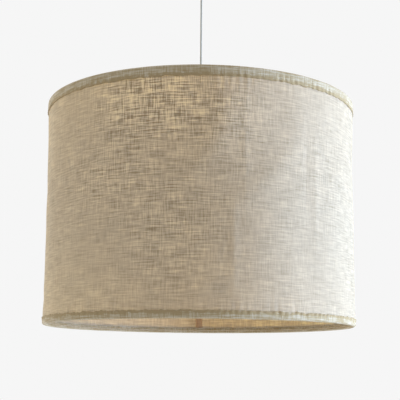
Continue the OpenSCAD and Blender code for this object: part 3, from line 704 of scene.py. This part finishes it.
class PENDANT_OT_wire_frame(bpy.types.Operator):
    """Powder coat on the rings, arms and fitter ring, and the welds that join them"""
    bl_idname = "pendant.wire_frame"
    bl_label = "Wire frame"

    def execute(self, context):
        shades = context.scene.pendant_finishes
        # Powder coat baked on steel wire: semi-gloss, with the slight skin of orange peel
        coat = finish("powder_coated_steel", "E2DFD8", shades.wire, 1.4, 0.06, (0.32, 0.46),
                      IOR=1.5)
        clothe(coat, "fitter_ring", "spider_arm_1", "spider_arm_2", "spider_arm_3",
               "top_ring", "bottom_ring")
        for number, angle in enumerate(SPIDER_ANGLES, 1):
            self.weld(f"arm_weld_{number}", math.radians(angle), coat)
        return {"FINISHED"}

    def weld(self, name, angle, coat):
        """A small fillet where an arm meets the fitter ring, a ball drawn out along the arm."""
        upright, sides = 13, 20
        lift = np.linspace(0.04, math.pi - 0.04, upright)[:, None]
        turn = (np.arange(sides) * TURN / sides)[None, :]
        # Half lengths along the arm, across it and upwards
        long, wide, tall = 3.0 * MM, 2.3 * MM, 1.9 * MM
        lump = 1 + 0.06 * np.sin(3 * turn) * np.sin(lift)
        x = FITTER_HIGH[0] + 0.6 * MM + long * np.cos(lift) * np.ones_like(turn)
        y = wide * np.sin(lift) * np.cos(turn) * lump
        z = (FITTER_LOW[2] + FITTER_HIGH[2]) / 2 + tall * np.sin(lift) * np.sin(turn) * lump
        points = np.stack([x * math.cos(angle) - y * math.sin(angle),
                           x * math.sin(angle) + y * math.cos(angle), z], -1)
        piece = surface(name, points, np.zeros((upright + 1, sides + 1, 2)),
                        closed=(False, True), caps=True)
        recalculate(piece)
        piece.data.materials.append(coat)
        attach(piece, "shade")


class PENDANT_OT_fittings(bpy.types.Operator):
    """Finishes of the ceiling rose and the lampholder"""
    bl_idname = "pendant.fittings"
    bl_label = "Rose and lampholder"

    def execute(self, context):
        shades = context.scene.pendant_finishes
        # Moulded polycarbonate: a fine spark-eroded texture takes the edge off the gloss
        moulded = finish("moulded_polycarbonate", "E8E6E0", shades.fitting, 0.7, 0.015,
                         (0.3, 0.42), IOR=1.58)
        clothe(moulded, "rose_cup", "holder_cap", "holder_skirt", "shade_ring",
               "rose_cord_grip", "rose_grip_nut", "holder_cord_grip")
        # Moulded nylon, a little yellower and duller than the covers
        clothe(finish("moulded_nylon", "DCD6C6", "E6E1D3", 0.9, 0.02, (0.42, 0.55), IOR=1.53),
               "terminal_block")
        # Glazed steatite: white body under a glassy glaze
        clothe(finish("glazed_steatite", "E9E6DF", "F3F1EC", 2.5, 0.02, (0.12, 0.22), IOR=1.55),
               "contact_block")
        # Zinc plate on pressed steel: grey, cloudy, with the sheet's rolling marks
        clothe(finish("zinc_plated_steel", "A9ABAD", "C6C8CA", 2.2, 0.01, (0.3, 0.45),
                      stretch=(0.15, 1, 1), Metallic=1.0), "ceiling_bracket")
        # Nickel-plated steel screws: bright, turned, with fine rings
        clothe(finish("nickel_plated_screws", "B9B5AC", "D2CEC5", 0.5, 0.01, (0.2, 0.34),
                      Metallic=1.0),
               "rose_cup_screws", "rose_grip_screw", "block_screw", "terminal_screws",
               "holder_grip_screw", "holder_terminal_screws")
        # Machined and drawn brass, slightly dulled by handling
        clothe(finish("drawn_brass", "B08D4C", "CBA862", 0.8, 0.01, (0.24, 0.38),
                      stretch=(1, 1, 0.2), Metallic=1.0),
               "terminal_barrels", "holder_terminals", "centre_contact", "side_contact")
        # Nickel-plated brass, pressed and rolled into a thread
        clothe(finish("nickel_plated_brass", "BDB9AE", "D6D2C8", 1.0, 0.01, (0.2, 0.32),
                      stretch=(1, 1, 4), Metallic=1.0), "screw_shell")
        # Extruded wire insulation: smooth and slightly waxy
        clothe(finish("wire_insulation", "6E3F22", "85502F", 1.2, 0.01, (0.36, 0.46), IOR=1.5),
               "rose_wires", "holder_wires")
        return {"FINISHED"}


class PENDANT_OT_bulb(bpy.types.Operator):
    """Finishes of the globe bulb"""
    bl_idname = "pendant.bulb"
    bl_label = "Bulb"

    def execute(self, context):
        # Opal globe: clear skin over a milky body, so light sinks in and comes back soft
        clothe(finish("opal_globe", "F0EEEA", "F8F7F4", 6, 0.01, (0.16, 0.26), IOR=1.49,
                      **{"Subsurface Weight": 0.35, "Subsurface Scale": 0.004}),
               "bulb_globe")
        # Thermoplastic over aluminium, matt to the touch
        clothe(finish("moulded_heat_sink", "E3E1DC", "EDEBE6", 0.8, 0.02, (0.42, 0.55),
                      IOR=1.55), "bulb_housing")
        clothe(finish("rolled_nickel_cap", "B7B3A9", "D3CFC5", 1.0, 0.01, (0.18, 0.32),
                      stretch=(1, 1, 4), Metallic=1.0), "bulb_screw_cap")
        # Tin-lead solder, cast in place: grey and slightly rippled
        clothe(finish("cast_solder", "9D9C98", "BDBCB8", 1.5, 0.05, (0.3, 0.45),
                      Metallic=1.0), "bulb_tip")
        clothe(finish("black_vitrite", "0E0E10", "1C1B1E", 1.2, 0.01, (0.08, 0.16), IOR=1.55),
               "bulb_insulator")
        # White solder mask over an aluminium board
        clothe(finish("white_solder_mask", "DDE0DC", "EBEDEA", 1.0, 0.01, (0.3, 0.4), IOR=1.5),
               "led_board")
        clothe(finish("phosphor_gel", "D9B530", "E8C94B", 0.5, 0.01, (0.25, 0.35), IOR=1.41),
               "led_chips")
        clothe(finish("glass_epoxy_board", "1F5A3A", "2C6E49", 0.9, 0.01, (0.3, 0.42), IOR=1.5),
               "led_driver")
        return {"FINISHED"}


class PENDANT_PT_panel(bpy.types.Panel):
    """The pendant's pieces and sizes"""
    bl_idname = "PENDANT_PT_panel"
    bl_label = "Linen Drum Pendant"
    bl_space_type = "VIEW_3D"
    bl_region_type = "UI"
    bl_category = "Pendant"

    def draw(self, context):
        for group in GROUPS:
            values = getattr(context.scene, group)
            for name in GROUPS[group].__annotations__:
                self.layout.prop(values, name)
        for step in STEPS:
            self.layout.operator(step.bl_idname)


GROUPS = {
    "pendant_cloth": ClothSizes,
    "pendant_finishes": Finishes,
    "pendant_stage": StageSettings,
}
STEPS = (
    PENDANT_OT_stage, PENDANT_OT_cord, PENDANT_OT_cover, PENDANT_OT_hems, PENDANT_OT_seam,
    PENDANT_OT_wire_frame, PENDANT_OT_fittings, PENDANT_OT_bulb,
)


def register():
    for group, kind in GROUPS.items():
        bpy.utils.register_class(kind)
        setattr(bpy.types.Scene, group, bpy.props.PointerProperty(type=kind))
    for kind in (*STEPS, PENDANT_PT_panel):
        bpy.utils.register_class(kind)


def unregister():
    for kind in reversed((*STEPS, PENDANT_PT_panel)):
        bpy.utils.unregister_class(kind)
    for group, kind in reversed(GROUPS.items()):
        delattr(bpy.types.Scene, group)
        bpy.utils.unregister_class(kind)


def main():
    register()
    for step in STEPS:
        group, name = step.bl_idname.split(".")
        getattr(getattr(bpy.ops, group), name)()


if __name__ == "__main__":
    main()
